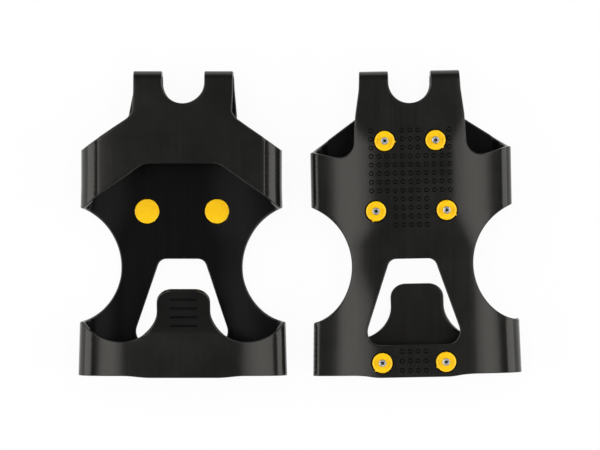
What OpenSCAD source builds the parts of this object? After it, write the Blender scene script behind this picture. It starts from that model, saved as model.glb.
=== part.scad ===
// A pair of ice cleats: moulded rubber overshoes that stretch over a shoe, each with six steel pins
// held in plastic plugs under the sole. One cleat lies sole down and the other lies sole up.
// A cleat is drawn in its own frame: X across it, Y from the rear edge of its heel to its toe,
// and Z up from the underside of its sole. A place along the cleat is a distance from the rear edge.

/* [Overshoe] */
// Length from the rear edge to the front of the toe fold
cleat_length = 184; // [176:1:204]
// Width across the wings beside the instep
wing_width = 120.4; // [112:0.2:128]
// Width across the heel
heel_width = 124; // [116:0.5:130]
// Width of the sole at its waist
waist_width = 72.4; // [69:0.2:78]
// Height of the flattened sleeve
sleeve_height = 28; // [25:0.5:32]
// Thickness of the rubber
wall = 2.8; // [2.4:0.1:3.4]
// Radius on which the sole and the straps curve up to the side folds
crown_radius = 70; // [60:1:110]

/* [Toe] */
// Width across the two toe bands
toe_width = 59.8; // [54:0.2:64]
// Width of the slot between the toe bands
toe_slot_width = 25.4; // [20:0.2:30]
// Depth of that slot from the front of the toe fold
toe_slot_depth = 19.5; // [17:0.5:23]
// Width of the sole's neck where it meets the wings
neck_width = 67; // [65:0.5:72]

/* [Wings and instep] */
// Place of the front corner of the wings
wing_front = 135.8; // [130:0.2:142]
// How far the sole's front edge falls back from that corner to the neck
wing_notch = 5.4; // [3:0.2:8]
// Radius between the neck and that edge
notch_radius = 8.8; // [6:0.2:11]
// Place where the instep plate widens out of the toe bands
shoulder_front = 159.4; // [157:0.2:162]
// Place where its slanting front edge begins
shoulder_rear = 155.5; // [152:0.5:156.5]
// Width of the instep plate there
shoulder_width = 65.6; // [64:0.2:70]
// Radius where it widens
shoulder_round = 5; // [2:0.5:6]
// Place of the rear edge of the instep plate
instep_rear = 128.4; // [124:0.2:134]
// Width of the straight middle of that edge
instep_rear_width = 44; // [36:0.5:54]
// Radius at each end of that straight part
instep_rear_round = 10; // [2:1:20]

/* [Waist and window] */
// Radius of the scallop in each side of the sole
scallop_radius = 38.1; // [36:0.1:41]
// Place of the middle of the scallops
scallop_place = 67.9; // [65:0.1:71]
// Place of the front edge of the window in the sole
window_front = 71; // [64:0.5:78]
// Place of the rear edge of the window
window_rear = 19.3; // [18.2:0.1:24]
// Width of the window at its front edge
window_front_width = 26.6; // [20:0.2:32]
// Width of the window at its rear edge
window_rear_width = 62; // [54:0.5:68]
// Radius of the window's front corners
window_front_round = 4.5; // [2:0.5:8]
// Radius of the window's rear corners
window_rear_round = 6; // [3:0.5:9]

/* [Heel strap and pull tab] */
// Place of the lowest point of the strap's front edge, on each side of the tab
strap_dip = 20.7; // [18:0.1:24]
// Width between those two points
strap_dip_width = 73.8; // [68:0.2:80]
// Width of the pull tab
tab_width = 32; // [26:0.5:38]
// Place of the tip of the pull tab when it lies flat
tab_tip = 56; // [52:0.5:62]
// Radius of the corners of the tip
tab_round = 9; // [4:0.5:12]
// Place of the line on which the tab bends
tab_bend = 26; // [24:0.5:30]
// Clearance in the groove at that line
tab_gap = 0.3; // [0.2:0.05:0.4]
// Angle by which the tab of the cleat that lies sole down curls up
tab_curl_angle = 27; // [0:1:35]
// Angle by which the tab of the cleat that lies sole up is pressed in
tab_press_angle = 7; // [7:0.5:12]
// Number of grip ribs across the tab
rib_count = 4; // [2:1:5]
// Distance from the bend line to the first grip rib
rib_start = 5.4; // [4.8:0.1:6]
// Distance from one grip rib to the next
rib_pitch = 6.1; // [4:0.1:6.2]
// Length of a grip rib
rib_length = 16; // [10:0.5:20]
// Radius of a grip rib's round back
rib_radius = 0.9; // [0.6:0.1:1.2]
// How far a grip rib stands out of the tab
rib_height = 0.5; // [0.3:0.1:0.6]

/* [Stud places] */
// Distance between the two toe studs
toe_stud_spacing = 30.6; // [28:0.2:34]
// Place of the toe studs
toe_stud_place = 141.9; // [138:0.1:150]
// Distance between the two ball studs
ball_stud_spacing = 42.4; // [36:0.2:46]
// Place of the ball studs
ball_stud_place = 99.8; // [94:0.1:106]
// Distance between the two heel studs
heel_stud_spacing = 38.2; // [30:0.2:44]
// Place of the heel studs
heel_stud_place = 8.7; // [8.5:0.1:9.5]

/* [Tread] */
// Diameter of a tread nub at the sole
nub_d = 3; // [2:0.1:3.4]
// Diameter of a nub's flat top
nub_top_d = 1.7; // [1:0.1:1.9]
// How far a nub stands out of the sole
nub_height = 0.8; // [0.4:0.1:1]
// Distance between columns of nubs
nub_column_pitch = 4.7; // [4.2:0.1:5]
// Distance between rows of nubs under the ball of the foot
nub_row_pitch = 5.16; // [4.6:0.02:5.4]
// Distance from the slot between the toe bands back to the front row of nubs
tread_margin = 16.3; // [14:0.1:18]
// Number of wide rows
wide_rows = 8; // [6:1:8]
// Number of columns in them
wide_columns = 11; // [9:2:11]
// Number of narrow rows behind them
narrow_rows = 4; // [2:1:5]
// Number of columns in those
narrow_columns = 5; // [3:2:5]
// Half the width of the square that is left clear around a stud
nub_clearing = 7; // [6.7:0.1:7.4]
// Place of the front row of nubs on the heel
heel_tread_front = 15.4; // [14.5:0.1:16]
// Distance between rows of nubs on the heel
heel_row_pitch = 5.75; // [5:0.05:6]
// Number of rows on the heel
heel_rows = 3; // [2:1:3]
// Number of columns on the heel
heel_columns = 4; // [2:1:4]

/* [Plug] */
// Diameter of the flange inside the sole
flange_d = 14.8; // [13.5:0.1:15.4]
// Thickness of that flange
flange_thick = 1.4; // [1.2:0.1:1.8]
// How deep the flange is let into the sole
flange_sink = 1; // [0.6:0.1:1.2]
// Radius of the flange's rim
flange_round = 0.5; // [0.3:0.1:0.8]
// Gap around the flange in the sole
flange_gap = 0.4; // [0.3:0.05:0.45]
// Diameter of the neck that passes through the sole
neck_d = 8.6; // [8.2:0.1:9.4]
// Clearance of the neck in the sole
neck_gap = 0.05; // [0.02:0.01:0.1]
// Diameter of the button under the sole
button_d = 12; // [11:0.1:13.4]
// Thickness of the button
button_thick = 2.2; // [1.8:0.1:2.8]
// How deep the button is let into the sole
button_sink = 0.4; // [0.2:0.1:0.6]
// Radius of the button's rim
button_round = 0.9; // [0.5:0.1:1.2]
// Diameter of the shallow dish in the button's face
dish_d = 9.2; // [7:0.1:9.8]
// Depth of that dish
dish_depth = 0.3; // [0.1:0.1:0.5]
// Diameter of the moulding nib on the button's rim
nib_d = 1.2; // [0.8:0.1:1.4]
// Gap around the button in the sole, in which its nib lies
button_gap = 0.8; // [0.7:0.1:0.9]

/* [Pin] */
// Diameter of the steel pin
pin_d = 4.3; // [3.6:0.1:5]
// How far the pin stands out of the button's rim
pin_reach = 2.7; // [2:0.1:3.6]
// Diameter of the head buried in the plug
pin_head_d = 6.6; // [6:0.1:7]
// Thickness of that head
pin_head_thick = 1; // [0.7:0.1:1.2]
// Plastic left over the head
pin_cover = 0.7; // [0.5:0.1:0.9]
// Diameter of the hollow in the tip
tip_hollow_d = 2; // [1.4:0.1:3]
// Depth of that hollow
tip_hollow_depth = 1.4; // [0.4:0.1:1.8]
// Bevel of the tip's edge
tip_bevel = 0.3; // [0.1:0.05:0.5]
// Clearance of the pin in the plug
pin_gap = 0.05; // [0.02:0.01:0.1]

/* [Pair] */
// Distance between the middles of the two cleats
pair_spacing = 138.3; // [134:0.1:160]
// Angle by which the cleat that lies sole up is turned on the table
turn_angle = 1.1; // [0:0.1:2]

/* [Hidden] */
$fn = 96;
// Steps in the arc of a rounded corner
corner_steps = 8;
// Margin by which a cut runs past what it cuts
past = 2;
// How much rounder than a touching arc the side folds are, so that they cross the crown's arcs
fold_lap = 0.1;
// Width of the straight edges at the side folds, where the sole's edges and the straps' edges meet
fold_edge = 1;

CLEATS = ["left", "right"];
// Name, place and the direction of the moulding nib of each stud
STUDS = [
    ["toe_stud_a", -toe_stud_spacing / 2, toe_stud_place, 225],
    ["toe_stud_b", toe_stud_spacing / 2, toe_stud_place, 185],
    ["ball_stud_a", -ball_stud_spacing / 2, ball_stud_place, 208],
    ["ball_stud_b", ball_stud_spacing / 2, ball_stud_place, 287],
    ["heel_stud_a", -heel_stud_spacing / 2, heel_stud_place, 330],
    ["heel_stud_b", heel_stud_spacing / 2, heel_stud_place, 312]
];

wing_half = wing_width / 2;
heel_half = heel_width / 2;
waist_half = waist_width / 2;
neck_half = neck_width / 2;
toe_half = toe_width / 2;
mid_height = sleeve_height / 2;

// The toe fold is a half round as high as the sleeve.
toe_fold = cleat_length - mid_height;
toe_slot_end = cleat_length - toe_slot_depth;
tread_front = toe_slot_end - tread_margin;

// The scallops end where they meet the side folds.
scallop_x = waist_half + scallop_radius;
function scallop_reach(half) = sqrt(pow(scallop_radius, 2) - pow(scallop_x - half, 2));
wing_rear = scallop_place + scallop_reach(wing_half);
heel_front = scallop_place - scallop_reach(heel_half);

// Two arcs make the strap's front edge: one runs into the tab's side, the other out to the side fold.
dip_x = strap_dip_width / 2;
inner_dip_radius = dip_x - tab_width / 2;
dip_rise = heel_front + fold_edge - strap_dip;
outer_dip_radius = (pow(heel_half - dip_x, 2) + pow(dip_rise, 2)) / (2 * dip_rise);

// The tab turns on a round root as thick as the rubber.
tab_axis = [0, tab_bend, sleeve_height - wall / 2];
tab_root_radius = wall / 2;

// The turned cleat reaches further than the other, so both are moved to keep the pair's middle at the origin.
turned_reach = heel_half * cos(turn_angle) + cleat_length / 2 * sin(turn_angle);
left_x = (pair_spacing + turned_reach - heel_half) / 2;
right_x = pair_spacing - left_x;
right_y = (heel_half - toe_half) / 2 * sin(turn_angle);

// Places of a block of nubs, from its front row to its rear row
function nub_block(rows, columns, front, row_pitch) = [
    for (row = [0 : rows - 1], column = [0 : columns - 1])
        [(column - (columns - 1) / 2) * nub_column_pitch, front - row * row_pitch]
];
function beside(place, stud) = max(abs(place[0] - stud[1]), abs(place[1] - stud[2])) < nub_clearing;
NUBS = [
    for (place = concat(
        nub_block(wide_rows, wide_columns, tread_front, nub_row_pitch),
        nub_block(narrow_rows, narrow_columns, tread_front - wide_rows * nub_row_pitch, nub_row_pitch),
        nub_block(heel_rows, heel_columns, heel_tread_front, heel_row_pitch)
    ))
        if (len([for (stud = STUDS) if (beside(place, stud)) stud]) == 0) place
];

// Heights in a stud, from the underside of the sole
flange_seat = wall - flange_sink;
flange_top = flange_seat + flange_thick;
button_rim = button_sink - button_thick;
button_face = button_rim + dish_depth;
head_top = flange_top - pin_cover;
head_seat = head_top - pin_head_thick;
tip_height = button_rim - pin_reach;

// The point on the line from p to q, past q by the margin across.
function beyond(p, q) = q + (q - p) * past / abs(q[0] - p[0]);

function unit(v) = v / norm(v);

// Points of the arc that rounds the corner at p, on its way from a to b
function round_corner(a, p, b, radius) =
    let (
        u = unit(a - p),
        v = unit(b - p),
        half_angle = acos(u * v) / 2,
        middle = p + unit(u + v) * radius / sin(half_angle),
        start = p + u * radius / tan(half_angle) - middle,
        turn = sign(cross(v, u)) * (180 - 2 * half_angle)
    )
    [for (i = [0 : corner_steps]) middle + turned(start, turn * i / corner_steps)];

function turned(v, angle) = [v[0] * cos(angle) - v[1] * sin(angle), v[0] * sin(angle) + v[1] * cos(angle)];

// An outline with the corners given as [x, y, radius]
function rounded(corners) =
    let (count = len(corners), points = [for (c = corners) [c[0], c[1]]])
    [
        for (i = [0 : count - 1]) each corners[i][2] == 0
            ? [points[i]]
            : round_corner(points[(i + count - 1) % count], points[i], points[(i + 1) % count], corners[i][2])
    ];

// Corners on the right of the middle line, followed by their mirror images
function mirrored(corners) =
    concat(corners, [for (i = [len(corners) - 1 : -1 : 0]) [-corners[i][0], corners[i][1], corners[i][2]]]);

// A plan shape and its mirror image across the middle line
module both_sides() {
    children();
    mirror([1, 0]) children();
}

// Half of a sleeve section's height: flat over the neck's width, then curving down on both sides
module crowned_side(inset) {
    radius = crown_radius - inset;
    both_sides() translate([neck_half, mid_height - crown_radius]) circle(radius);
    translate([-neck_half, mid_height - crown_radius - radius]) square([neck_width, 2 * radius]);
}

// Section across the sleeve, half wide from its middle, with every face drawn in by the inset
module sleeve_section(half, inset) {
    side = half - neck_half;
    fold_radius = (2 * crown_radius * mid_height - pow(side, 2) - pow(mid_height, 2))
        / (2 * (crown_radius - side));
    touch = neck_half + (crown_radius - inset) * (side - fold_radius) / (crown_radius - fold_radius);
    translate([0, mid_height]) {
        both_sides() translate([half - fold_radius - fold_lap, 0]) circle(fold_radius + fold_lap - inset);
        intersection() {
            crowned_side(inset);
            mirror([0, 1]) crowned_side(inset);
            translate([-touch, -mid_height]) square([2 * touch, sleeve_height]);
        }
    }
}

// A sleeve section drawn out along the cleat between two places
module along(from, to) {
    translate([0, to, 0]) rotate([90, 0, 0]) linear_extrude(to - from) children();
}

// The sleeve as a solid: heel, wings and the round toe fold
module sleeve(inset) {
    along(-past, scallop_place) sleeve_section(heel_half, inset);
    along(scallop_place, toe_fold) sleeve_section(wing_half, inset);
    translate([-neck_half, toe_fold, mid_height])
        rotate([0, 90, 0]) cylinder(r = mid_height - inset, h = neck_width);
}

module toe_slot() {
    radius = toe_slot_width / 2;
    translate([0, toe_slot_end + radius]) {
        circle(radius);
        translate([-radius, 0]) square([toe_slot_width, toe_slot_depth]);
    }
}

// Plan of the instep plate with its wings and toe bands
module instep_plan() {
    shoulder = [shoulder_width / 2, shoulder_rear];
    rear_bend = [instep_rear_width / 2, instep_rear];
    rear_end = beyond(rear_bend, [wing_half, wing_rear - fold_edge]);
    polygon(rounded(mirrored([
        [toe_half, cleat_length + past, 0],
        [toe_half, shoulder_front, shoulder_round],
        [shoulder[0], shoulder[1], 0],
        [wing_half - fold_edge, wing_front, 0],
        [wing_half + past, wing_front, 0],
        [rear_end[0], rear_end[1], 0],
        [rear_bend[0], rear_bend[1], instep_rear_round]
    ])));
}

// Plan of the heel strap up to the line on which the tab bends
module strap_plan() {
    difference() {
        translate([-heel_half - past, 0]) square([heel_width + 2 * past, heel_front + past]);
        both_sides() {
            intersection() {
                translate([dip_x, strap_dip + inner_dip_radius]) circle(inner_dip_radius);
                translate([0, strap_dip]) square([dip_x, heel_front]);
            }
            intersection() {
                translate([dip_x, strap_dip + outer_dip_radius]) circle(outer_dip_radius);
                translate([dip_x, strap_dip]) square([heel_half, heel_front]);
            }
            translate([0, tab_bend]) square([dip_x, heel_front]);
        }
    }
}

// Plan of the pull tab from its root to its tip
module tab_plan() {
    flare_end = strap_dip + inner_dip_radius;
    polygon(rounded(mirrored([[tab_width / 2, tab_bend, 0], [tab_width / 2, tab_tip, tab_round]])));
    difference() {
        translate([-dip_x, strap_dip]) square([strap_dip_width, inner_dip_radius]);
        both_sides() translate([dip_x, flare_end]) circle(inner_dip_radius);
    }
}

// Section along the pull tab, with its round root on the bend line
module tab_section() {
    circle(tab_root_radius);
    translate([0, -tab_root_radius]) square([tab_tip + past - tab_bend, wall]);
}

module window_plan() {
    polygon(rounded(mirrored([
        [window_front_width / 2, window_front, window_front_round],
        [window_rear_width / 2, window_rear, window_rear_round]
    ])));
}

// Plan of the sole: neck, wings, scalloped waist and heel
module sole_plan() {
    widest = max(wing_half, heel_half) + past;
    difference() {
        polygon(rounded(mirrored([
            [toe_half, cleat_length + past, 0],
            [toe_half, cleat_length, 0],
            [neck_half, wing_front - wing_notch, notch_radius],
            [wing_half - fold_edge, wing_front, 0],
            [wing_half + past, wing_front, 0],
            [widest, scallop_place, 0],
            [widest, 0, 0]
        ])));
        window_plan();
    }
}

// Plan of what is cut from the whole sleeve: the slot between the toe bands and the scallops at the waist
module through_plan() {
    toe_slot();
    both_sides() translate([scallop_x, scallop_place]) circle(scallop_radius);
}

// A hole for a stud: the neck's bore, and a shallow seat on each face of the sole
module stud_hole() {
    translate([0, 0, -past]) cylinder(d = neck_d + 2 * neck_gap, h = wall + 2 * past);
    translate([0, 0, flange_seat]) cylinder(d = flange_d + 2 * flange_gap, h = flange_sink + past);
    translate([0, 0, -past]) cylinder(d = button_d + 2 * button_gap, h = past + button_sink);
}

// A tread nub under the sole, with a root in the rubber
module nub() {
    mirror([0, 0, 1]) cylinder(d1 = nub_d, d2 = nub_top_d, h = nub_height);
    cylinder(d = nub_d, h = wall / 2);
}

// The rubber moulding with its tread
module overshoe() {
    color("#262625") {
        cut_sleeve();
        for (place = NUBS) translate(place) nub();
    }
}

// A flattened sleeve cut to the plan of the sole below and of the straps above
module cut_sleeve() {
    difference() {
        intersection() {
            difference() {
                sleeve(0);
                sleeve(wall);
            }
            union() {
                translate([0, 0, -past]) linear_extrude(mid_height + past) sole_plan();
                translate([0, 0, mid_height]) linear_extrude(mid_height + past) {
                    instep_plan();
                    strap_plan();
                }
            }
        }
        translate([0, 0, -past]) linear_extrude(sleeve_height + 2 * past) through_plan();
        for (stud = STUDS) translate([stud[1], stud[2], 0]) stud_hole();
        translate(tab_axis - [dip_x, 0, 0])
            rotate([0, 90, 0]) cylinder(r = tab_root_radius + tab_gap, h = strap_dip_width);
    }
}

// The pull tab with its grip ribs, bent up from flat by the angle
module pull_tab(bend) {
    color("#242423") translate(tab_axis) rotate([bend, 0, 0]) translate(-tab_axis) {
        intersection() {
            translate(tab_axis - [dip_x, 0, 0])
                rotate([90, 0, 90]) linear_extrude(strap_dip_width) tab_section();
            translate([0, 0, mid_height]) linear_extrude(mid_height + past) tab_plan();
        }
        for (i = [0 : rib_count - 1])
            translate([-rib_length / 2, tab_bend + rib_start + i * rib_pitch, sleeve_height + rib_height])
                rotate([0, 90, 0]) translate([rib_radius, 0, 0]) cylinder(r = rib_radius, h = rib_length);
    }
}

// A disc with a round upper rim
module rounded_disc(d, thick, round) {
    rotate_extrude() {
        square([d / 2 - round, thick]);
        square([d / 2, thick - round]);
        translate([d / 2 - round, thick - round]) circle(round);
    }
}

// The plastic plug: flange inside the sole, neck through it and round button under it
module plug(nib_angle) {
    color("#fbc413") difference() {
        union() {
            translate([0, 0, flange_seat]) rounded_disc(flange_d, flange_thick, flange_round);
            translate([0, 0, button_sink]) cylinder(d = neck_d, h = flange_seat - button_sink);
            translate([0, 0, button_sink]) mirror([0, 0, 1])
                rounded_disc(button_d, button_thick, button_round);
            rotate(nib_angle) translate([button_d / 2, 0, button_rim + button_round])
                cylinder(d = nib_d, h = button_thick - button_round);
        }
        translate([0, 0, button_rim - past]) cylinder(d = dish_d, h = dish_depth + past);
        translate([0, 0, button_face - past])
            cylinder(d = pin_d + 2 * pin_gap, h = head_top - button_face + past);
        translate([0, 0, head_seat - pin_gap])
            cylinder(d = pin_head_d + 2 * pin_gap, h = pin_head_thick + 2 * pin_gap);
    }
}

// The steel pin: a head buried in the plug, and a shank with a hollow tip
module pin() {
    color("#c3c7cb") difference() {
        union() {
            translate([0, 0, head_seat]) cylinder(d = pin_head_d, h = pin_head_thick);
            translate([0, 0, tip_height + tip_bevel])
                cylinder(d = pin_d, h = head_seat - tip_height - tip_bevel);
            translate([0, 0, tip_height])
                cylinder(d1 = pin_d - 2 * tip_bevel, d2 = pin_d, h = tip_bevel);
        }
        translate([0, 0, tip_height]) cylinder(d1 = tip_hollow_d, d2 = 0, h = tip_hollow_depth);
    }
}

// Lays a cleat in the pair: the left one on its pins, the right one on its straps
module lay(cleat) {
    if (cleat == "left")
        translate([-left_x, -cleat_length / 2, -tip_height]) children();
    else
        translate([right_x, right_y, sleeve_height]) rotate([0, 0, turn_angle])
            translate([0, -cleat_length / 2, 0]) rotate([0, 180, 0]) children();
}

for (cleat = CLEATS) {
    lay(cleat) overshoe();
    lay(cleat) pull_tab(cleat == "left" ? tab_curl_angle : -tab_press_angle);
    for (stud = STUDS) {
        name = str(cleat, "_", stud[0]);
        place = [stud[1], stud[2], 0];
        lay(cleat) translate(place) plug(stud[3]);
        lay(cleat) translate(place) pin();
    }
}
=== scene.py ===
import math

import bmesh
import bpy
import numpy as np
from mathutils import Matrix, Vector
from mathutils.geometry import delaunay_2d_cdt


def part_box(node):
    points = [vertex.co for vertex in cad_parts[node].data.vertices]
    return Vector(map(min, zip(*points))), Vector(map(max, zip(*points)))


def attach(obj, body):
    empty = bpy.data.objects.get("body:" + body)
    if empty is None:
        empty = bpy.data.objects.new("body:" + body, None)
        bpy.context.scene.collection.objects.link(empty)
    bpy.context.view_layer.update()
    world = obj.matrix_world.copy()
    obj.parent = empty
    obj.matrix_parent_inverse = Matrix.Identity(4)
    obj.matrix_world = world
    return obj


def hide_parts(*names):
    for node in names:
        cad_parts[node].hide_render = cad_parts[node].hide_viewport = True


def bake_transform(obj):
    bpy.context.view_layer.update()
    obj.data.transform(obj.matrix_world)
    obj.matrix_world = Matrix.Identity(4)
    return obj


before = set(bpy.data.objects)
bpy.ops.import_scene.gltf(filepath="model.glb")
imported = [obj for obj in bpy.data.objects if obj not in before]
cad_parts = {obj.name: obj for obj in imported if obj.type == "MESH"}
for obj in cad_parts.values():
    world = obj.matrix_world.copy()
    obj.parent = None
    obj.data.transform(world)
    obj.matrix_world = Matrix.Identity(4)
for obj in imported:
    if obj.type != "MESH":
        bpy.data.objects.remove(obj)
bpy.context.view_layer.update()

# Overshoe: sole, wings, instep plate, toe bands and heel strap are one moulding of black rubber. It lies
# flattened, as two sheets that run into each other at round folds, the sole below and the straps above.
# A sheet is drawn unrolled, in mm across and along from the heel, and laid on its curved middle surface.
LENGTH = 184.0
SLEEVE = 28.0
WALL = 2.8
WING_HALF, HEEL_HALF, NECK_HALF = 60.5, 62.0, 34.4
SCALLOP, SCALLOP_RADIUS = (74.3, 67.35), 37.75
TOE_ROUND = 7.5
MID = SLEEVE / 2
HALF_WALL = WALL / 2
TOE_FOLD = LENGTH - TOE_ROUND
TOE_END = LENGTH + MID - TOE_ROUND
SOLE, STRAPS = -1, 1

# A crown is its start across and its radius, or a radius alone where it starts at the neck's width. A fade is
# a stretch along. The crease lies in from the widest place of the middle surface.
NEAR_CROWN, INSTEP_CROWN = 70.0, 450.0
SOLE_NEAR, SOLE_FAR, STRAP_FAR = (21.0, 112.0), (11.7, 132.0), (25.7, 110.0)
HEEL_FADE, TOE_FADE = (75.0, 102.0), (140.0, 165.0)
WAIST, WAIST_SHARE = (45.0, 66.0, 80.0, 91.0), 0.68
CREASE = 9.4


def section(across, along, sheet):
    """The sleeve's section at each point: its half width, where the crown starts, the radii of crown and
    fold, and the angles at which the crown ends and the fold begins. The two arcs reach the half width at
    mid height. They touch, but on the instep plate they meet at a crease. The far side lies lower, less so
    at the waist and not at the toe."""
    heel, far = along < SCALLOP[1], across > 0
    half = np.where(heel, HEEL_HALF, WING_HALF)
    if sheet == SOLE:
        near_share = np.interp(along, HEEL_FADE + TOE_FADE, (0, 1, 1, 0))
        far_share = np.interp(along, WAIST + TOE_FADE, (1, WAIST_SHARE, WAIST_SHARE, 1, 1, 0))
        near_start = near_share * (SOLE_NEAR[0] - NECK_HALF)
        start = NECK_HALF + np.where(far, far_share * (SOLE_FAR[0] - NECK_HALF), near_start)
        crown = np.where(far, SOLE_FAR[1], NEAR_CROWN + near_share * (SOLE_NEAR[1] - NEAR_CROWN))
    else:
        start = np.where(heel & far, STRAP_FAR[0], NECK_HALF)
        crown = np.where(heel, np.where(far, STRAP_FAR[1], NEAR_CROWN), INSTEP_CROWN)
    side = half - start
    fold = (2 * crown * MID - side ** 2 - MID ** 2) / (2 * (crown - side))
    touch = np.arcsin((side - fold) / (crown - fold))
    if sheet == SOLE:
        return half, start, crown, fold, touch, touch
    crown_end = np.arcsin((side - HALF_WALL - CREASE) / (crown - HALF_WALL))
    rise = MID - HALF_WALL - (crown - HALF_WALL) * (1 - np.cos(crown_end))
    fold_start = math.pi / 2 - 2 * np.arctan(CREASE / rise)
    creased_fold = rise / np.cos(fold_start) + HALF_WALL
    return (half, start, crown, np.where(heel, fold, creased_fold), np.where(heel, touch, crown_end),
            np.where(heel, touch, fold_start))


def unrolled(plan, sheet):
    """Sheet coordinates of plan points: across, the length over flat, crown and fold of the middle surface;
    along, the length over the toe's round. Plan points past the toe lie down its flat front."""
    across, along = np.abs(plan[:, 0]), plan[:, 1]
    half, start, crown, fold, crown_end, fold_start = section(plan[:, 0], along, sheet)
    crown_turn = np.arcsin(np.clip((across - start) / crown, 0, np.sin(crown_end)))
    fold_turn = np.arcsin(np.clip((across - half + fold) / fold, np.sin(fold_start), 1)) - fold_start
    toe_turn = np.arcsin(np.clip((along - TOE_FOLD) / TOE_ROUND, 0, 1))
    toe_length = (TOE_ROUND - HALF_WALL) * toe_turn + np.maximum(along - LENGTH, 0)
    length = np.minimum(across, start) + (crown - HALF_WALL) * crown_turn + (fold - HALF_WALL) * fold_turn
    return np.stack([np.sign(plan[:, 0]) * length, np.minimum(along, TOE_FOLD) + toe_length], axis=1)


def middle_surface(places, sheet):
    """Points and outward normals of a sheet's middle surface. Across, it is flat, then an arc of the crown,
    then an arc of the fold; along, it is flat, then a quarter circle, then straight to mid height. The
    straps are the upper half of the sleeve and the sole is the lower."""
    across, along = np.abs(places[..., 0]), places[..., 1]
    _, start, crown, fold, crown_end, fold_start = section(places[..., 0], along, sheet)
    crown, fold, toe = crown - HALF_WALL, fold - HALF_WALL, TOE_ROUND - HALF_WALL
    crown_turn = np.clip((across - start) / crown, 0, crown_end)
    on_fold = np.maximum(across - start - crown * crown_end, 0)
    bend = np.where(on_fold > 0, fold_start, crown_turn)
    turn = bend + on_fold / fold
    toe_turn = np.clip((along - TOE_FOLD) / toe, 0, math.pi / 2)
    toe_drop = toe * (1 - np.cos(toe_turn)) + np.maximum(along - TOE_FOLD - toe * math.pi / 2, 0)
    x = np.minimum(across, start) + crown * np.sin(crown_turn) + fold * (np.sin(turn) - np.sin(bend))
    y = np.minimum(along, TOE_FOLD) + toe * np.sin(toe_turn)
    drop = crown * (1 - np.cos(crown_turn)) + fold * (np.cos(bend) - np.cos(turn)) + toe_drop
    sign = np.sign(places[..., 0])
    points = np.stack([sign * x, y, MID + sheet * (MID - HALF_WALL - drop)], axis=-1)
    upward = sheet * np.cos(turn) * np.cos(toe_turn)
    return points, np.stack([sign * np.sin(turn), np.sin(toe_turn), upward], axis=-1)


# Sole: the lower sheet, narrow at the neck, with a wing and a heel on each side, a scallop between them and a
# window under the arch. Every free edge has a moulded round. The toe slot parts the two toe bands, and six
# stepped seats hold the studs.
WING_FRONT, WING_NOTCH, NOTCH_ROUND = 136.8, 6.4, 8.8
FOLD_EDGE, FOLD_EDGE_ROUND = 1.0, 0.4
NECK_BENDS, BEND_ROUND = ((32.9, 157.0), (30.6, 173.0)), 40.0
TOE_HALF = 29.9
SLOT_HALF, SLOT_END = 12.7, 164.5
WINDOW_FRONT, WINDOW_FRONT_HALF, WINDOW_FRONT_ROUND = 71.0, 13.3, 5.2
WINDOW_REAR, WINDOW_REAR_HALF, WINDOW_REAR_ROUND = 19.3, 31.0, 8.0
WINDOW_LAST = 0.5
BULGE_FLAT, BULGE_END, SIDE_RISE, SOLE_BULGE = 20.0, 37.0, 0.9, 1.0
STUD_PLACES = np.array([
    (-15.3, 141.9), (15.3, 141.9), (-21.2, 99.8), (21.2, 99.8), (-19.1, 8.7), (19.1, 8.7)])
SEAT_PROFILE = np.array([
    (6.8, 0.0), (6.8, 0.4), (4.35, 0.4), (4.35, 1.8), (7.8, 1.8), (7.8, 2.8)])
SEAT_FACETS = 48
RIM_ROUND, RIM_POINTS, SLOPE_STEP = 0.7, 5, 0.01

# Steps in mm of arcs, of paths before they are unrolled, of edges and of faces; how far the points of a face
# and of a line stay off an edge; the points of a rear edge; and how near two points count as one. The two
# material slots are smooth rubber and matt rubber, whose darker black is painted shade.
ARC_STEP, PLAN_STEP, EDGE_STEP, FACE_STEP = 0.5, 0.2, 1.3, 1.9
EDGE_ROOM, LINE_ROOM = 0.6 * FACE_STEP, 0.22
REAR_POINTS = 249
SAME_POINT = 1e-6
SMOOTH, MATT_PAINTED_SHADE = 0, 1


def arc(centre, radius, start, end):
    """Points of a circle's arc from one angle to another, in degrees, at even steps."""
    count = max(int(abs(math.radians(end - start)) * radius / ARC_STEP), 4)
    turn = np.radians(np.linspace(start, end, count + 1))
    return np.array(centre) + radius * np.stack([np.cos(turn), np.sin(turn)], axis=1)


def rounded(corners):
    """An open path through corners (x, y, radius), each replaced by the arc that touches both its sides."""
    points = np.array([corner[:2] for corner in corners])
    path = [points[:1]]
    for i in range(1, len(corners) - 1):
        corner, radius = points[i], corners[i][2]
        back, on = points[i - 1] - corner, points[i + 1] - corner
        back, on = back / np.linalg.norm(back), on / np.linalg.norm(on)
        half = math.acos(float(np.clip(back @ on, -1, 1))) / 2
        centre = corner + (back + on) / np.linalg.norm(back + on) * radius / math.sin(half)
        first = corner + back * radius / math.tan(half) - centre
        last = corner + on * radius / math.tan(half) - centre
        start = math.degrees(math.atan2(first[1], first[0]))
        swing = math.degrees(math.atan2(first[0] * last[1] - first[1] * last[0], first @ last))
        path.append(arc(centre, radius, start, start + swing))
    return np.concatenate(path + [points[-1:]])


def evenly(path, step):
    """The path with its points set again at even steps of its own length."""
    run = np.concatenate([[0], np.cumsum(np.linalg.norm(np.diff(path, axis=0), axis=1))])
    steps = np.linspace(0, run[-1], max(int(round(run[-1] / step)), 2) + 1)
    return np.stack([np.interp(steps, run, path[:, k]) for k in (0, 1)], axis=1)


def sheet_path(plan, sheet):
    """A plan path in sheet coordinates. It is unrolled in fine steps, so that it follows the folds."""
    return evenly(unrolled(evenly(plan, PLAN_STEP), sheet), EDGE_STEP)


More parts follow.
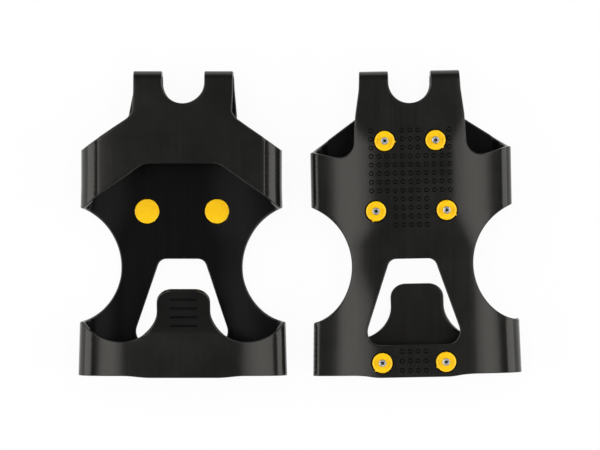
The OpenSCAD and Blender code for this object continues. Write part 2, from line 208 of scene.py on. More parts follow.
def free_edge(plan, sheet, slanted=()):
    """An open edge in sheet coordinates with its outward direction at each point. At a fold the edge meets
    the seam squarely; at an end in slanted it meets the tab's seam at an angle and points along the seam."""
    path = sheet_path(plan, sheet)
    run = np.gradient(path, axis=0)
    out = np.stack([run[:, 1], -run[:, 0]], axis=1) / np.linalg.norm(run, axis=1)[:, None]
    for end in (0, -1):
        out[end] = (1 / out[end, 0], 0) if end in slanted else np.round(out[end])
    return path, out


def closed_edge(plan, sheet):
    """A closed edge, such as a window's, in sheet coordinates with its outward direction into the opening."""
    path = sheet_path(np.concatenate([plan, plan[:1]]), sheet)[:-1]
    run = np.roll(path, -1, axis=0) - np.roll(path, 1, axis=0)
    return path, np.stack([run[:, 1], -run[:, 0]], axis=1) / np.linalg.norm(run, axis=1)[:, None]


def mirrored(plan):
    """The mirror image of a plan path, run the other way so that its outward side stays outward."""
    return plan[::-1] * (-1, 1)


def outline(edges):
    """The face's boundary: each free edge drawn in by its rounding, joined by straight seams at the folds."""
    inset = [path - RIM_ROUND * out for path, out in edges]
    loop = []
    for this, after in zip(inset, inset[1:] + inset[:1]):
        count = max(int(round(np.linalg.norm(after[0] - this[-1]) / EDGE_STEP)), 1)
        seam = this[-1] + (after[0] - this[-1]) * np.linspace(0, 1, count + 1)[1:-1, None]
        loop += [this, seam]
    return np.concatenate(loop)


def inside(points, loops):
    """Even-odd rule: a point is inside where a ray across the sheet crosses the loops an odd number of
    times."""
    a = np.concatenate(loops)
    b = np.concatenate([np.roll(loop, -1, axis=0) for loop in loops])
    level = points[:, 1, None]
    crosses = (a[:, 1] > level) != (b[:, 1] > level)
    rise = np.where(a[:, 1] == b[:, 1], 1, b[:, 1] - a[:, 1])
    ahead = points[:, 0, None] < a[:, 0] + (level - a[:, 1]) * (b[:, 0] - a[:, 0]) / rise
    return (crosses & ahead).sum(1) % 2 == 1


def nearest(points, others):
    """The distance from each point to the nearest of the others."""
    return np.linalg.norm(points[:, None] - others, axis=2).min(1)


def face_mesh(loops, lines):
    """The area within the loops as triangles on a staggered grid of points, with its points in the sheet. The
    triangles' sides follow the loops, and also the lines as far as they lie well within the loops."""
    border = np.concatenate(loops)
    lines = [line[inside(line, loops)] for line in lines]
    lines = [line[nearest(line, border) > LINE_ROOM] for line in lines]
    drawn = np.concatenate([border] + lines)
    low, high = border.min(0), border.max(0)
    rows = np.arange(low[1], high[1], FACE_STEP * math.sqrt(3) / 2)
    grid = np.stack(np.meshgrid(np.arange(low[0], high[0], FACE_STEP), rows), axis=-1)
    grid[1::2, :, 0] += FACE_STEP / 2
    grid = grid.reshape(-1, 2)
    grid = grid[inside(grid, loops)]
    grid = grid[nearest(grid, drawn) > EDGE_ROOM]
    ends = np.cumsum([len(path) for path in loops + lines])
    paths = np.split(np.arange(len(drawn)), ends[:-1])
    links = [np.stack([path, np.roll(path, -1)], axis=1) for path in paths[:len(loops)]]
    links += [np.stack([path[:-1], path[1:]], axis=1) for path in paths[len(loops):]]
    points = [Vector(point) for point in np.concatenate([drawn, grid])]
    found = delaunay_2d_cdt(points, np.concatenate(links).tolist(), [], 0, SAME_POINT)
    corners, triangles = np.array([tuple(corner) for corner in found[0]]), np.array(found[2])
    return corners, triangles[inside(corners[triangles].mean(1), loops)]


def grid_faces(rows, columns, closed):
    """Quads of a grid of points, joined round from its last row to its first if it is closed."""
    i, j = np.meshgrid(np.arange(rows if closed else rows - 1), np.arange(columns - 1), indexing="ij")
    a, b = i * columns + j, (i + 1) % rows * columns + j
    return np.stack([a, b, b + 1, a + 1], axis=-1).reshape(-1, 4)


def rim(edge, surface, closed):
    """A rounded rim: a profile of two quarter circles, carried along the drawn-in edge across the wall."""
    path, out = edge
    inset = path - RIM_ROUND * out
    turn = np.radians(np.linspace(0, 90, RIM_POINTS))
    reach = RIM_ROUND * np.concatenate([np.sin(turn), np.sin(turn[::-1])])
    height = np.concatenate([HALF_WALL - RIM_ROUND + RIM_ROUND * np.cos(turn),
                             RIM_ROUND - HALF_WALL - RIM_ROUND * np.cos(turn[::-1])])
    points, normals = surface(inset)
    ahead, behind = surface(inset + SLOPE_STEP * out)[0], surface(inset - SLOPE_STEP * out)[0]
    outward = (ahead - behind) / (2 * SLOPE_STEP)
    strip = points[:, None] + reach[:, None] * outward[:, None] + height[:, None] * normals[:, None]
    return strip.reshape(-1, 3), grid_faces(len(path), len(reach), closed), SMOOTH


def sheet_parts(edges, windows, surface, outer_holes=(), inner_holes=(), lines=()):
    """The two faces of a sheet, half the wall off its middle surface, and the rims of its free edges. A part
    is its points, its faces and the material slot of the faces."""
    parts = []
    boundary = [outline(edges)] + [path - RIM_ROUND * out for path, out in windows]
    for offset, holes in ((HALF_WALL, outer_holes), (-HALF_WALL, inner_holes)):
        corners, triangles = face_mesh(boundary + list(holes), lines)
        points, normals = surface(corners)
        # The inner face is matt, and its darker black is painted shade inside the sleeve.
        parts.append((points + offset * normals, triangles, SMOOTH if offset > 0 else MATT_PAINTED_SHADE))
    parts += [rim(edge, surface, False) for edge in edges]
    parts += [rim(edge, surface, True) for edge in windows]
    return parts


def circle(facets):
    """Points of a circle of radius one, at even turns."""
    turn = np.linspace(0, 2 * np.pi, facets, endpoint=False)
    return np.stack([np.cos(turn), np.sin(turn)], axis=1)


def sole_surface(places):
    """The middle surface of the sole, at the bottom of the sleeve."""
    return middle_surface(places, SOLE)


def set_in_sole(profile, place, facets, slots):
    """A profile of radius and height above the underside, carried once round a place along the sole's face.
    Each of its bands has a material slot of its own."""
    points, normals = sole_surface(place + profile[None, :, :1] * circle(facets)[:, None])
    points = points + (HALF_WALL - profile[None, :, 1:]) * normals
    return points.reshape(-1, 3), grid_faces(facets, len(profile), True), np.tile(slots, facets)


def rear_edge(bulge, sheet):
    """The heel's rear edge, straight at the sides and bulging back between them in a smooth step each way."""
    x = np.linspace(-HEEL_HALF, HEEL_HALF, REAR_POINTS)
    share = np.clip((BULGE_END - np.abs(x)) / (BULGE_END - BULGE_FLAT), 0, 1)
    y = SIDE_RISE - (SIDE_RISE + bulge) * share ** 2 * (3 - 2 * share)
    return free_edge(np.stack([x, y], axis=1), sheet)


def scallop_reach(half):
    """How far from its middle a scallop meets the side fold: the leg of a right triangle on its radius."""
    return math.sqrt(SCALLOP_RADIUS ** 2 - (SCALLOP[0] - half) ** 2)


WING_REAR = SCALLOP[1] + scallop_reach(WING_HALF)
HEEL_FRONT = SCALLOP[1] - scallop_reach(HEEL_HALF)
heel_swing = math.degrees(math.atan2(HEEL_FRONT - SCALLOP[1], HEEL_HALF - SCALLOP[0]))
wing_swing = math.degrees(math.atan2(WING_REAR - SCALLOP[1], WING_HALF - SCALLOP[0]))
scallop = arc(SCALLOP, SCALLOP_RADIUS, heel_swing + 360, wing_swing)
sole_front = rounded([
    (WING_HALF, WING_FRONT, 0), (WING_HALF - FOLD_EDGE, WING_FRONT, FOLD_EDGE_ROUND),
    (NECK_HALF, WING_FRONT - WING_NOTCH, NOTCH_ROUND), (*NECK_BENDS[0], BEND_ROUND),
    (*NECK_BENDS[1], BEND_ROUND), (TOE_HALF, TOE_END, 0)])
slot_plan = np.concatenate([
    [(SLOT_HALF, TOE_END)], arc((0, SLOT_END + SLOT_HALF), SLOT_HALF, 0, -180), [(-SLOT_HALF, TOE_END)]])
toe_slot = free_edge(slot_plan, SOLE)
window = closed_edge(rounded([
    (0, WINDOW_REAR, 0), (-WINDOW_REAR_HALF, WINDOW_REAR, WINDOW_REAR_ROUND),
    (-WINDOW_FRONT_HALF, WINDOW_FRONT, WINDOW_FRONT_ROUND),
    (WINDOW_FRONT_HALF, WINDOW_FRONT, WINDOW_FRONT_ROUND),
    (WINDOW_REAR_HALF, WINDOW_REAR, WINDOW_REAR_ROUND), (WINDOW_LAST, WINDOW_REAR, 0)]), SOLE)
sole_edges = [
    rear_edge(SOLE_BULGE, SOLE), free_edge(scallop, SOLE), free_edge(sole_front, SOLE), toe_slot,
    free_edge(mirrored(sole_front), SOLE), free_edge(mirrored(scallop), SOLE)]
outer_holes = [place + SEAT_PROFILE[0, 0] * circle(SEAT_FACETS) for place in STUD_PLACES]
inner_holes = [place + SEAT_PROFILE[-1, 0] * circle(SEAT_FACETS) for place in STUD_PLACES]
# The seats are matt and painted darker, as the shade in the groove round each stud.
seat_slots = [MATT_PAINTED_SHADE] * (len(SEAT_PROFILE) - 1)
sole = sheet_parts(sole_edges, [window], sole_surface, outer_holes, inner_holes)
sole += [set_in_sole(SEAT_PROFILE, place, SEAT_FACETS, seat_slots) for place in STUD_PLACES]

# Tread: rows of low nubs on the underside of the sole, moulded in one with it, in a block round the front
# studs and between the heel studs. Their flat tops are as smooth as the sole, and their flanks are matt and
# painted darker, as the shade round each nub.
NUB_HALF, NUB_TOP, NUB_HEIGHT, NUB_FOOT, NUB_FACETS = 1.5, 0.85, 0.8, 0.25, 10
NUB_CLEARING = 7.0
TREAD_TOP, TREAD_PITCH = 148.2, (4.7, 5.16)
TREAD_ROWS, WIDE_ROWS, WIDE_COLUMNS, NARROW_COLUMNS = 12, 8, 11, 5
HEEL_ROWS, HEEL_COLUMNS = (15.4, 9.65, 3.9), 4
row, column = np.meshgrid(
    np.arange(TREAD_ROWS), np.arange(WIDE_COLUMNS) - WIDE_COLUMNS // 2, indexing="ij")
nubs = np.stack([TREAD_PITCH[0] * column, TREAD_TOP - TREAD_PITCH[1] * row], axis=-1)
nubs = nubs[(row < WIDE_ROWS) | (np.abs(column) <= NARROW_COLUMNS // 2)]
nubs = nubs[~(np.abs(nubs[:, None] - STUD_PLACES) < NUB_CLEARING).all(2).any(1)]
heel_columns = TREAD_PITCH[0] * (np.arange(HEEL_COLUMNS) - (HEEL_COLUMNS - 1) / 2)
heel_nubs = np.stack(np.meshgrid(heel_columns, HEEL_ROWS), axis=-1).reshape(-1, 2)
nub_profile = np.array([
    (0, NUB_FOOT), (NUB_HALF, NUB_FOOT), (NUB_HALF, 0), (NUB_TOP, -NUB_HEIGHT), (0, -NUB_HEIGHT)])
nub_slots = [MATT_PAINTED_SHADE, MATT_PAINTED_SHADE, MATT_PAINTED_SHADE, SMOOTH]
nub_places = np.concatenate([nubs, heel_nubs])
tread = [set_in_sole(nub_profile, place, NUB_FACETS, nub_slots) for place in nub_places]

# Instep plate and toe bands: the front of the upper sheet, moulded in one with the sole. It narrows from the
# wings to the toe and runs round it into the sole on both sides of the slot. A faint crease on each side
# shows where the flat plate goes over into the fold.
INSTEP_EDGE, INSTEP_EDGE_ROUND = 0.4, 0.2
SHOULDER, SHOULDER_FRONT, SHOULDER_ROUNDS = (32.8, 155.5), 159.4, (2.0, 1.25)
INSTEP_REAR, INSTEP_REAR_HALF, INSTEP_REAR_ROUND = 128.4, 22.0, 10.0
REAR_TRIM, REAR_TRIM_ROUND = 0.95, 0.3
CREASE_HALF = 0.22


def strap_surface(places):
    """The middle surface of the instep plate and the heel strap, at the top of the sleeve."""
    return middle_surface(places, STRAPS)


instep_front = rounded([
    (WING_HALF, WING_FRONT, 0), (WING_HALF - INSTEP_EDGE, WING_FRONT, INSTEP_EDGE_ROUND),
    (*SHOULDER, SHOULDER_ROUNDS[0]), (TOE_HALF, SHOULDER_FRONT, SHOULDER_ROUNDS[1]), (TOE_HALF, TOE_END, 0)])
trim_x = WING_HALF - REAR_TRIM
trim_y = SCALLOP[1] + scallop_reach(trim_x)
instep_rear = rounded([
    (-WING_HALF, WING_REAR, 0), (-trim_x, trim_y, REAR_TRIM_ROUND),
    (-INSTEP_REAR_HALF, INSTEP_REAR, INSTEP_REAR_ROUND), (INSTEP_REAR_HALF, INSTEP_REAR, INSTEP_REAR_ROUND),
    (trim_x, trim_y, REAR_TRIM_ROUND), (WING_HALF, WING_REAR, 0)])
_, crown_start, crown, _, crown_end, _ = section(np.ones(1), np.full(1, INSTEP_REAR), STRAPS)
crease_x = crown_start + (crown - HALF_WALL) * crown_end
crease_y = np.arange(SCALLOP[1], WING_FRONT + WING_NOTCH, EDGE_STEP)
creases = [np.stack([np.full_like(crease_y, side * (crease_x[0] + aside)), crease_y], axis=1)
           for side in (-1, 1) for aside in (-CREASE_HALF, CREASE_HALF)]
instep_edges = [
    free_edge(instep_rear, STRAPS), free_edge(instep_front, STRAPS), toe_slot,
    free_edge(mirrored(instep_front), STRAPS)]
instep = sheet_parts(instep_edges, [], strap_surface, lines=creases)

# Heel strap: the rear of the upper sheet, moulded in one with the sole's heel. Its front edge dips on each
# side and rises again into the pull tab, where it ends in a straight seam. Both its faces are as smooth as
# the sole.
STRAP_BULGE = 0.2
STRAP_DIP, DIP_X, DIP_TRIM = 20.7, 36.9, 0.8
TAB_HALF, TAB_SEAM = 16.0, 24.0
INNER_DIP = DIP_X - TAB_HALF
dip_rise = HEEL_FRONT + FOLD_EDGE - STRAP_DIP
outer_dip = ((HEEL_HALF - DIP_X) ** 2 + dip_rise ** 2) / (2 * dip_rise)
trim_swing = math.degrees(math.asin((HEEL_HALF - DIP_TRIM - DIP_X) / outer_dip))
seam_swing = math.degrees(math.asin((STRAP_DIP + INNER_DIP - TAB_SEAM) / INNER_DIP))
strap_front = np.concatenate([
    [(HEEL_HALF, HEEL_FRONT)], arc((DIP_X, STRAP_DIP + outer_dip), outer_dip, -90 + trim_swing, -90),
    arc((DIP_X, STRAP_DIP + INNER_DIP), INNER_DIP, -90, -180 + seam_swing)[1:]])
strap_edges = [
    rear_edge(STRAP_BULGE, STRAPS), free_edge(strap_front, STRAPS, slanted=(-1,)),
    free_edge(mirrored(strap_front), STRAPS, slanted=(0,))]
strap = [(points, faces, SMOOTH) for points, faces, _ in sheet_parts(strap_edges, [], strap_surface)]

# Moulded thermoplastic rubber: satin black, with faint drag marks along the mould and a dusty bloom that
# makes its gloss uneven. The grain is 0.35 mm, drawn at twice the real size so that it shows.
DRAG_MARK = (1.4, 70.0, 8.0)
BLOOM_PATCH = 22.0
RUBBER_GRAIN = 0.35 * 2


def linear(colour):
    """A colour given as sRGB hex, in linear light with full alpha."""
    share = np.array([int(colour[i:i + 2], 16) for i in (1, 3, 5)]) / 255
    light = np.where(share <= 0.04045, share / 12.92, ((share + 0.055) / 1.055) ** 2.4)
    return (*light.tolist(), 1.0)


def add(tree, kind, links=(), stops=(), **values):
    """Adds a node. Links are (input, from node, output), stops are a colour ramp's (position, linear colour),
    and a value is a property of the node or the default of an input, by name."""
    node = tree.nodes.new(kind)
    for name, value in values.items():
        if hasattr(node, name):
            setattr(node, name, value)
        else:
            node.inputs[name.replace("_", " ")].default_value = value
    for socket, source, output in links:
        tree.links.new(source.outputs[output], node.inputs[socket])
    for index, (position, colour) in enumerate(stops):
        node.color_ramp.elements[index].position = position
        node.color_ramp.elements[index].color = colour
    return node


def per_metre(size):
    """The scale of a pattern, in steps to a metre, from the size of one step in mm."""
    return 1000 / np.asarray(size, float)


def new_material(name):
    """A new material and its node tree, emptied."""
    material = bpy.data.materials.new(name)
    material.use_nodes = True
    material.node_tree.nodes.clear()
    return material, material.node_tree


black_rubber, tree = new_material("moulded_black_rubber")
place = add(tree, "ShaderNodeTexCoord")
drag_scale = add(tree, "ShaderNodeMapping", [("Vector", place, "Object")], Scale=per_metre(DRAG_MARK))
drag = add(tree, "ShaderNodeTexNoise", [("Vector", drag_scale, "Vector")],
           Scale=1.0, Detail=2.0, Roughness=0.5)
bloom = add(tree, "ShaderNodeTexNoise", [("Vector", place, "Object")],
            Scale=per_metre(BLOOM_PATCH), Detail=4.0, Roughness=0.6)
grain = add(tree, "ShaderNodeTexNoise", [("Vector", place, "Object")],
            Scale=per_metre(RUBBER_GRAIN), Detail=1.0)
patches = add(tree, "ShaderNodeMath", [(0, drag, "Fac"), (1, bloom, "Fac")], operation="ADD")
gloss = add(tree, "ShaderNodeMapRange", [("Value", patches, "Value")],
            From_Min=0.7, From_Max=1.3, To_Min=0.15, To_Max=0.2)
tone = add(tree, "ShaderNodeValToRGB", [("Fac", bloom, "Fac")],
           stops=[(0.35, linear("#101010")), (0.7, linear("#161616"))])
relief = add(tree, "ShaderNodeBump", [("Height", grain, "Fac")], Strength=0.06, Distance=0.0002)
rubber = add(tree, "ShaderNodeBsdfPrincipled", [
    ("Base Color", tone, "Color"), ("Roughness", gloss, "Result"), ("Normal", relief, "Normal")],
    IOR=1.5, Specular_IOR_Level=0.4, Specular_Tint=(1, 0.97, 0.9, 1))
add(tree, "ShaderNodeOutputMaterial", [("Surface", rubber, "BSDF")])

# The same rubber where the mould is left rough: inside the sole and the instep plate, in the seats, on the
# nubs' flanks and on the tab's ribs. It is less glossy, and its darker black is painted shade, as falls
# inside the sleeve, in the seats' grooves and beside the nubs and ribs. Fine marks run along it where it was
# drawn off the core, 0.5 mm apart and drawn at twice that.
CORE_MARK = (0.5 * 2, 80.0, 5.0)
matt_rubber_painted_shade, tree = new_material("matt_black_rubber_painted_shade")
place = add(tree, "ShaderNodeTexCoord")
core_scale = add(tree, "ShaderNodeMapping", [("Vector", place, "Object")], Scale=per_metre(CORE_MARK))
core = add(tree, "ShaderNodeTexNoise", [("Vector", core_scale, "Vector")], Scale=1.0, Detail=1.0)
tone = add(tree, "ShaderNodeValToRGB", [("Fac", core, "Fac")],
           stops=[(0.35, linear("#070707")), (0.7, linear("#0b0b0b"))])
rubber = add(tree, "ShaderNodeBsdfPrincipled", [("Base Color", tone, "Color")],
             IOR=1.5, Roughness=0.28, Specular_IOR_Level=0.07)
add(tree, "ShaderNodeOutputMaterial", [("Surface", rubber, "BSDF")])

# Each cleat of the pair lies as it was put down, one sole down and one sole up, so its soft rubber is a
# little off the moulded shape. A push has a size in mm, most of them one for each cleat, and a stretch over
# which it comes and goes.
HEEL_SHIFT, SHIFT_FADE = {"left": 1.7, "right": -3.6}, (60.0, 95.0)
TOE_SHIFT, TOE_LEAN = {"left": 1.2, "right": -0.35}, (150.0, 172.0)
NECK_SHIFT, NECK_SPAN = {"left": 0.8, "right": 2.4}, (0.0, 14.0, 32.0, 56.0)
SIDE_SHIFT, SIDE_START = {"left": 0.0, "right": -0.55}, 30.0
WING_SLACK, SLACK_REACH, SLACK_SPAN = {"left": 0.95, "right": 0.0}, 12.0, (60.0, 85.0)
HEEL_FLARE, CORNER_LIFT, CORNER_SPAN = 0.9, 1.5, (0.0, 31.7, 60.0)
WING_TURN, WING_SPAN = {"left": 0.0, "right": -0.9}, (110.0, 135.0)
REAR_SHIFT, REAR_FADE = {"left": 0.0, "right": 0.7}, 1.6

# The height of a pin's middle over the underside of the sole, in mm; how near, in metres, two points of a
# piece are made one; and the angle past which an edge is drawn sharp.
PIN_MIDDLE = -1.0
MERGE_DISTANCE, SHARP_ANGLE = 2e-5, math.radians(50)


def slack(points, cleat):
    """How far the soft rubber lies off its moulded shape, in mm across, along and up: the sum of a few
    pushes, each full over one stretch of the cleat and fading out beside it. The sole round the studs stays
    where it is, but for about 0.3 mm at most at the heel's seats."""
    x, y, z = points.T
    above_sole = np.clip((z - WALL) / (SLEEVE - WALL), 0, 1)
    above_fold = np.clip(z / MID - 1, 0, 1)
    at_side = np.clip((np.abs(x) - SIDE_START) / (WING_HALF - SIDE_START), 0, 1)
    across = HEEL_SHIFT[cleat] * np.interp(y, SHIFT_FADE, (1, 0)) * above_sole
    across += TOE_SHIFT[cleat] * np.interp(y, TOE_LEAN, (0, 1))
    across += SIDE_SHIFT[cleat] * at_side
    across += HEEL_FLARE * np.sign(x) * at_side * np.interp(y, (0, HEEL_FRONT), (1, 0))
    along = NECK_SHIFT[cleat] * np.interp(y, NECK_SPAN, (0, 1, 1, 0)) * above_fold
    along += CORNER_LIFT * at_side ** 3 * np.interp(y, CORNER_SPAN, (0, 1, 0))
    along += WING_TURN[cleat] * np.sign(x) * at_side * np.interp(y, WING_SPAN, (0, 1))
    along += REAR_SHIFT[cleat] * np.interp(y, (0, REAR_FADE), (1, 0))
    to_scallop = np.stack([np.sign(x) * SCALLOP[0] - x, SCALLOP[1] - y])
    distance = np.linalg.norm(to_scallop, axis=0)
    near_scallop = np.interp(distance, (SCALLOP_RADIUS, SCALLOP_RADIUS + SLACK_REACH), (1, 0))
    push = WING_SLACK[cleat] * near_scallop * np.interp(y, SLACK_SPAN, (0, 1)) * to_scallop / distance
    return np.stack([across + push[0], along + push[1], np.zeros_like(x)], axis=1)


def laid(points, cleat):
    """Where points of a cleat's own frame, in mm, lie in metres with the rubber's slack. The frame is read
    off the middles of four pins: across from toe stud a to b, along from heel to toe studs, up from both."""
    pins = [np.mean(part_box(f"{cleat}_{stud}_pin"), axis=0)
            for stud in ("toe_stud_a", "toe_stud_b", "heel_stud_a", "heel_stud_b")]
    across = (pins[1] - pins[0]) / np.linalg.norm(pins[1] - pins[0])
    along = pins[0] + pins[1] - pins[2] - pins[3]
    along /= np.linalg.norm(along)
    from_pins = points + slack(points, cleat) - (0, STUD_PLACES[0, 1], PIN_MIDDLE)
    return (pins[0] + pins[1]) / 2 + from_pins @ np.stack([across, along, np.cross(across, along)]) / 1000


def piece(name, parts, cleat):
    """One closed mesh from the parts: shared points merged, ends capped, faces turned outward. Wide faces set
    the shading, so that a face stays flat up to its narrow rim."""
    starts = np.cumsum([0] + [len(points) for points, _, _ in parts])
    points = laid(np.concatenate([points for points, _, _ in parts]), cleat)
    faces = [row for (_, part, _), start in zip(parts, starts) for row in (part + start).tolist()]
    slots = np.concatenate([np.full(len(part), slot) for _, part, slot in parts])
    mesh = bpy.data.meshes.new(name)
    mesh.from_pydata(points.tolist(), [], faces)
    mesh.materials.append(black_rubber)
    mesh.materials.append(matt_rubber_painted_shade)
    mesh.polygons.foreach_set("material_index", slots.astype(np.int32))
    shape = bmesh.new()
    shape.from_mesh(mesh)
    bmesh.ops.remove_doubles(shape, verts=shape.verts, dist=MERGE_DISTANCE)
    bmesh.ops.holes_fill(shape, edges=shape.edges, sides=0)
    bmesh.ops.recalc_face_normals(shape, faces=shape.faces)
    shape.to_mesh(mesh)
    shape.free()
    mesh.polygons.foreach_set("use_smooth", np.ones(len(mesh.polygons), bool))
    mesh.set_sharp_from_angle(angle=SHARP_ANGLE)
    obj = bpy.data.objects.new(name, mesh)
    bpy.context.scene.collection.objects.link(obj)
    wide_faces_lead = obj.modifiers.new("wide_faces_lead", "WEIGHTED_NORMAL")
    wide_faces_lead.keep_sharp = True
    return obj


for cleat in ("left", "right"):
    shoe = piece(cleat + "_rubber_overshoe", sole + instep + strap + tread, cleat)
    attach(shoe, "pair")
    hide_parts(cleat + "_overshoe")

# Pull tab: the heel strap runs on into it, so it is rubber too, moulded in one with the strap. It bends at
# its root, curled up on the cleat that lies sole down, and has four matt grip ribs across its outer face,
# painted darker as the shade along them.
TAB_TIP, TAB_ROUND = 56.0, 9.0
TAB_BEND, BEND_END, BEND_POINTS = 26.0, 34.0, 200
TAB_TURNS = {"left": 27.0, "right": -7.0}
BLEND_MARGIN = 0.2
RIB_FIRST, RIB_PITCH, RIB_COUNT = 5.4, 6.1, 4
RIB_HALF, RIB_RADIUS, RIB_HEIGHT, RIB_FOOT, RIB_POINTS = 8.0, 0.9, 0.5, 0.15, 9


def bent(turn):
    """A surface for the tab: straight out of the strap, round a curve with its corner on the bend line, then
    straight on at the turn in degrees. The curve is a parabola run through at an even pace."""
    t = np.linspace(0, 1, BEND_POINTS)[:, None]
    lift = np.array([math.cos(math.radians(turn)), math.sin(math.radians(turn))])
    start, corner = np.array([TAB_SEAM - TAB_BEND, 0.0]), np.zeros(2)
    curve = (1 - t) ** 2 * start + 2 * t * (1 - t) * corner + t ** 2 * (BEND_END - TAB_BEND) * lift
    run = np.concatenate([[0], np.cumsum(np.linalg.norm(np.diff(curve, axis=0), axis=1))])
    slope = np.gradient(curve, axis=0)
    angle = np.arctan2(slope[:, 1], slope[:, 0])

    def surface(places):
        """Points and outward normals: a place's length past the seam is run off along the curve."""
        along = places[..., 1] - TAB_SEAM
        on_curve = np.clip(along, 0, run[-1])
        beyond = np.maximum(along - run[-1], 0)
        y = np.interp(on_curve, run, curve[:, 0]) + beyond * lift[0] + np.minimum(along, 0)
        z = np.interp(on_curve, run, curve[:, 1]) + beyond * lift[1]
        tilt = np.interp(on_curve, run, angle)
        points = np.stack([places[..., 0], TAB_BEND + y, SLEEVE - HALF_WALL + z], axis=-1)
        return points, np.stack([np.zeros_like(tilt), -np.sin(tilt), np.cos(tilt)], axis=-1)

    return surface


def rib(along, surface):
    """A grip rib: a low arc across its width, run straight across the tab, with a flat wall at each end."""
    low = RIB_RADIUS - RIB_HEIGHT - RIB_FOOT
    swing = np.linspace(-1, 1, RIB_POINTS) * math.acos(low / RIB_RADIUS)
    across = np.array([-RIB_HALF, -RIB_HALF, RIB_HALF, RIB_HALF])
    places = np.stack(np.meshgrid(across, along + RIB_RADIUS * np.sin(swing), indexing="ij"), axis=-1)
    points, normals = surface(places)
    rise = np.outer([0, 1, 1, 0], RIB_RADIUS * np.cos(swing) - low)
    points = points + (HALF_WALL - RIB_FOOT + rise)[..., None] * normals
    # The rib is matt and painted darker, as shade.
    return points.reshape(-1, 3), grid_faces(len(across), len(swing), False), MATT_PAINTED_SHADE


tab_root = arc((DIP_X, STRAP_DIP + INNER_DIP), INNER_DIP, -180 + seam_swing, -180)[:-1]
tab_tip = rounded([(TAB_HALF, STRAP_DIP + INNER_DIP, 0), (TAB_HALF, TAB_TIP, TAB_ROUND), (0, TAB_TIP, 0)])
tab_side = np.concatenate([tab_root, tab_tip])
tab_edge = free_edge(np.concatenate([tab_side, mirrored(tab_side)[1:]]), STRAPS, slanted=(0, -1))
for cleat, turn in TAB_TURNS.items():
    surface = bent(turn)
    parts = [(points, faces, SMOOTH) for points, faces, _ in sheet_parts([tab_edge], [], surface)]
    parts += [rib(TAB_BEND + RIB_FIRST + RIB_PITCH * i, surface) for i in range(RIB_COUNT)]
    tab = piece(cleat + "_rubber_tab", parts, cleat)
    ends = laid(surface(np.array([(0, TAB_SEAM + BLEND_MARGIN), (0, BEND_END)]))[0], cleat)
    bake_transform(tab)
    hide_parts(cleat + "_pull_tab")

# Plugs: bright yellow nylon, injection moulded, pressed through the sole from inside. A flange shows inside
# the shoe and a button with a round rim under the sole. Their solids are right, so only the finish is new.
# The nylon looks even and satin, with a faint swirl where it flowed into the mould.
FLOW_SWIRL = 6.0
yellow_nylon, tree = new_material("moulded_yellow_nylon")
place = add(tree, "ShaderNodeTexCoord")
flow = add(tree, "ShaderNodeTexNoise", [("Vector", place, "Object")], Scale=per_metre(FLOW_SWIRL), Detail=3.0)
shade = add(tree, "ShaderNodeValToRGB", [("Fac", flow, "Fac")],
            stops=[(0.3, linear("#fbc204")), (0.7, linear("#ffcc08"))])
satin = add(tree, "ShaderNodeMapRange", [("Value", flow, "Fac")], To_Min=0.16, To_Max=0.24)
nylon = add(tree, "ShaderNodeBsdfPrincipled", [
    ("Base Color", shade, "Color"), ("Roughness", satin, "Result")], IOR=1.53, Specular_IOR_Level=0.35)
add(tree, "ShaderNodeOutputMaterial", [("Surface", nylon, "BSDF")])


def refinish(node, *materials):
    """Gives a CAD node new materials in place of its own."""
    node.data.materials.clear()
    for material in materials:
        node.data.materials.append(material)


for name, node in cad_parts.items():
    if name.endswith("_plug"):
        refinish(node, yellow_nylon)

# Pins: hardened carbon steel, zinc plated, turned with a hollow tip that bites the ice, each with a head
# held in its plug. The plating is bright on the rim, with fine paler and duller specks.
PLATING_SPECK = 1.1
zinc_steel, tree = new_material("zinc_plated_steel")
place = add(tree, "ShaderNodeTexCoord")
speck = add(tree, "ShaderNodeTexNoise", [("Vector", place, "Object")],
            Scale=per_metre(PLATING_SPECK), Detail=3.0)
plating = add(tree, "ShaderNodeValToRGB", [("Fac", speck, "Fac")],
              stops=[(0.3, linear("#9fa2a4")), (0.7, linear("#d6d8d8"))])
dull = add(tree, "ShaderNodeMapRange", [("Value", speck, "Fac")], To_Min=0.2, To_Max=0.4)
steel = add(tree, "ShaderNodeBsdfPrincipled", [
    ("Base Color", plating, "Color"), ("Roughness", dull, "Result")], Metallic=1.0)
add(tree, "ShaderNodeOutputMaterial", [("Surface", steel, "BSDF")])

# The hollow in a tip is painted dark, as the shade that fills it, with a faint mottle. Its faces lie within
# the hollow's radius, here in metres, and are steeper than the flat ends of the pin.
HOLLOW_RADIUS, HOLLOW_SLOPE = 0.00101, 0.97
SHADE_MOTTLE_GRAIN = 0.65
hollow_painted_shade, tree = new_material("painted_shade_in_the_tip")
place = add(tree, "ShaderNodeTexCoord")
hollow_shade_mottle = add(tree, "ShaderNodeTexNoise", [("Vector", place, "Object")],
            Scale=per_metre(SHADE_MOTTLE_GRAIN), Detail=2.0)
hollow_shade_tone = add(tree, "ShaderNodeValToRGB", [("Fac", hollow_shade_mottle, "Fac")],
            stops=[(0.35, linear("#4a4947")), (0.7, linear("#8c8a87"))])
hollow_shade_metal = add(tree, "ShaderNodeBsdfPrincipled", [("Base Color", hollow_shade_tone, "Color")], Metallic=1.0, Roughness=0.3)
add(tree, "ShaderNodeOutputMaterial", [("Surface", hollow_shade_metal, "BSDF")])

for name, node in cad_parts.items():
    if name.endswith("_pin"):
        refinish(node, zinc_steel, hollow_painted_shade)
        axis = np.mean(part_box(name), axis=0)
        faces = node.data.polygons
        centres, slopes = np.zeros(len(faces) * 3), np.zeros(len(faces) * 3)
        faces.foreach_get("center", centres)
        faces.foreach_get("normal", slopes)
        reach = np.linalg.norm(centres.reshape(-1, 3)[:, :2] - axis[:2], axis=1)
        # These faces in the tip's hollow take the painted shade.
        painted_shade_faces = (reach < HOLLOW_RADIUS) & (np.abs(slopes.reshape(-1, 3)[:, 2]) < HOLLOW_SLOPE)
        faces.foreach_set("material_index", painted_shade_faces.astype(np.int32))

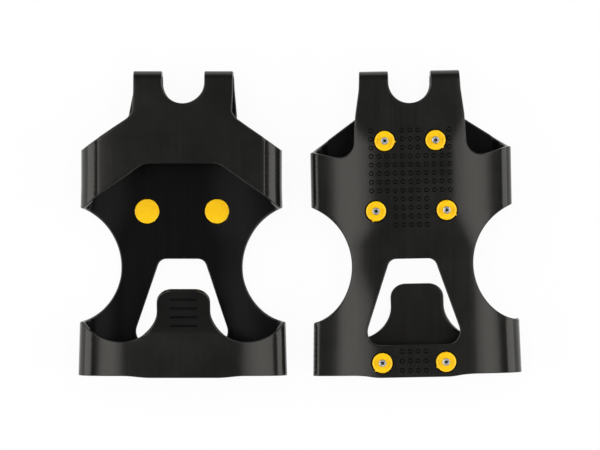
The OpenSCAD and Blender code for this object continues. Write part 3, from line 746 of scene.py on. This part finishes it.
# Stage: a white table that keeps the shadow, a dim even room, and three pairs of long soft lamps that lean
# over the cleats' sides, as a product photograph has. Sizes are in metres. A lamp is set by its lean from
# upright and the angle that it spans, in degrees, and by its brightness.
TABLE_HALF, TABLE_GLOW = 3.0, 0.94
LAMP_REACH, LAMP_LENGTH = 3.0, 5.0
LAMPS = {"inner_box": (12.0, 6.0, 1.7), "soft_box": (22.5, 15.0, 2.4), "side_panel": (70.0, 38.0, 2.6)}
table_mesh = bpy.data.meshes.new("table")
table_corners = [(x * TABLE_HALF, y * TABLE_HALF, 0) for x, y in ((-1, -1), (1, -1), (1, 1), (-1, 1))]
table_mesh.from_pydata(table_corners, [], [(0, 1, 2, 3)])
table = bpy.data.objects.new("table", table_mesh)
bpy.context.scene.collection.objects.link(table)
white_table, tree = new_material("white_table")
rays = add(tree, "ShaderNodeLightPath")
reflected = add(tree, "ShaderNodeMath", [(0, rays, "Is Glossy Ray"), (1, rays, "Is Transmission Ray")],
                operation="MAXIMUM")
seen = add(tree, "ShaderNodeMath", [(0, rays, "Is Camera Ray"), (1, reflected, "Value")], operation="MAXIMUM")
share = add(tree, "ShaderNodeMath", [(0, seen, "Value")], operation="MULTIPLY")
share.inputs[1].default_value = TABLE_GLOW
paper = add(tree, "ShaderNodeBsdfDiffuse", Color=linear("#f4f4f4"))
glow = add(tree, "ShaderNodeEmission", Color=(1, 1, 1, 1), Strength=1.0)
both = add(tree, "ShaderNodeMixShader", [(0, share, "Value"), (1, paper, "BSDF"), (2, glow, "Emission")])
add(tree, "ShaderNodeOutputMaterial", [("Surface", both, "Shader")])
table_mesh.materials.append(white_table)

world = bpy.data.worlds.new("even_room")
bpy.context.scene.world = world
world.use_nodes = True
tree = world.node_tree
tree.nodes.clear()
direction = add(tree, "ShaderNodeTexCoord")
height = add(tree, "ShaderNodeSeparateXYZ", [("Vector", direction, "Generated")])
walls = add(tree, "ShaderNodeValToRGB", [("Fac", height, "Z")],
            stops=[(0.1, (0.12, 0.12, 0.12, 1)), (0.35, (0.15, 0.15, 0.15, 1))])
room = add(tree, "ShaderNodeBackground", [("Color", walls, "Color")], Strength=1.0)
add(tree, "ShaderNodeOutputWorld", [("Surface", room, "Background")])

for name, (lean, span, brightness) in LAMPS.items():
    for side in (-1, 1):
        lamp = bpy.data.lights.new(name, "AREA")
        lamp.shape = "RECTANGLE"
        lamp.size = 2 * LAMP_REACH * math.tan(math.radians(span / 2))
        lamp.size_y = LAMP_LENGTH
        lamp.energy = brightness * math.pi * lamp.size * lamp.size_y
        box = bpy.data.objects.new(name, lamp)
        turn = math.radians(lean) * side
        box.location = (LAMP_REACH * math.sin(turn), 0, LAMP_REACH * math.cos(turn))
        box.rotation_euler = (0, turn, 0)
        box.visible_camera = False
        bpy.context.scene.collection.objects.link(box)

# Camera: straight above, with a long lens that makes 600 pixels span the photograph's 361 mm at about half
# the cleats' height. Its place across and along centres the pair as the photograph does.
VIEW_WIDTH, VIEW_MIDDLE, CAMERA_HEIGHT, SENSOR = 0.3612, (0.0013, -0.0005, 0.02), 2.6, 36.0
lens = bpy.data.cameras.new("camera")
lens.sensor_width = SENSOR
lens.lens = SENSOR * CAMERA_HEIGHT / VIEW_WIDTH
camera = bpy.data.objects.new("camera", lens)
camera.location = (VIEW_MIDDLE[0], VIEW_MIDDLE[1], CAMERA_HEIGHT + VIEW_MIDDLE[2])
bpy.context.scene.collection.objects.link(camera)
bpy.context.scene.camera = camera
bpy.context.scene.view_settings.view_transform = "Standard"
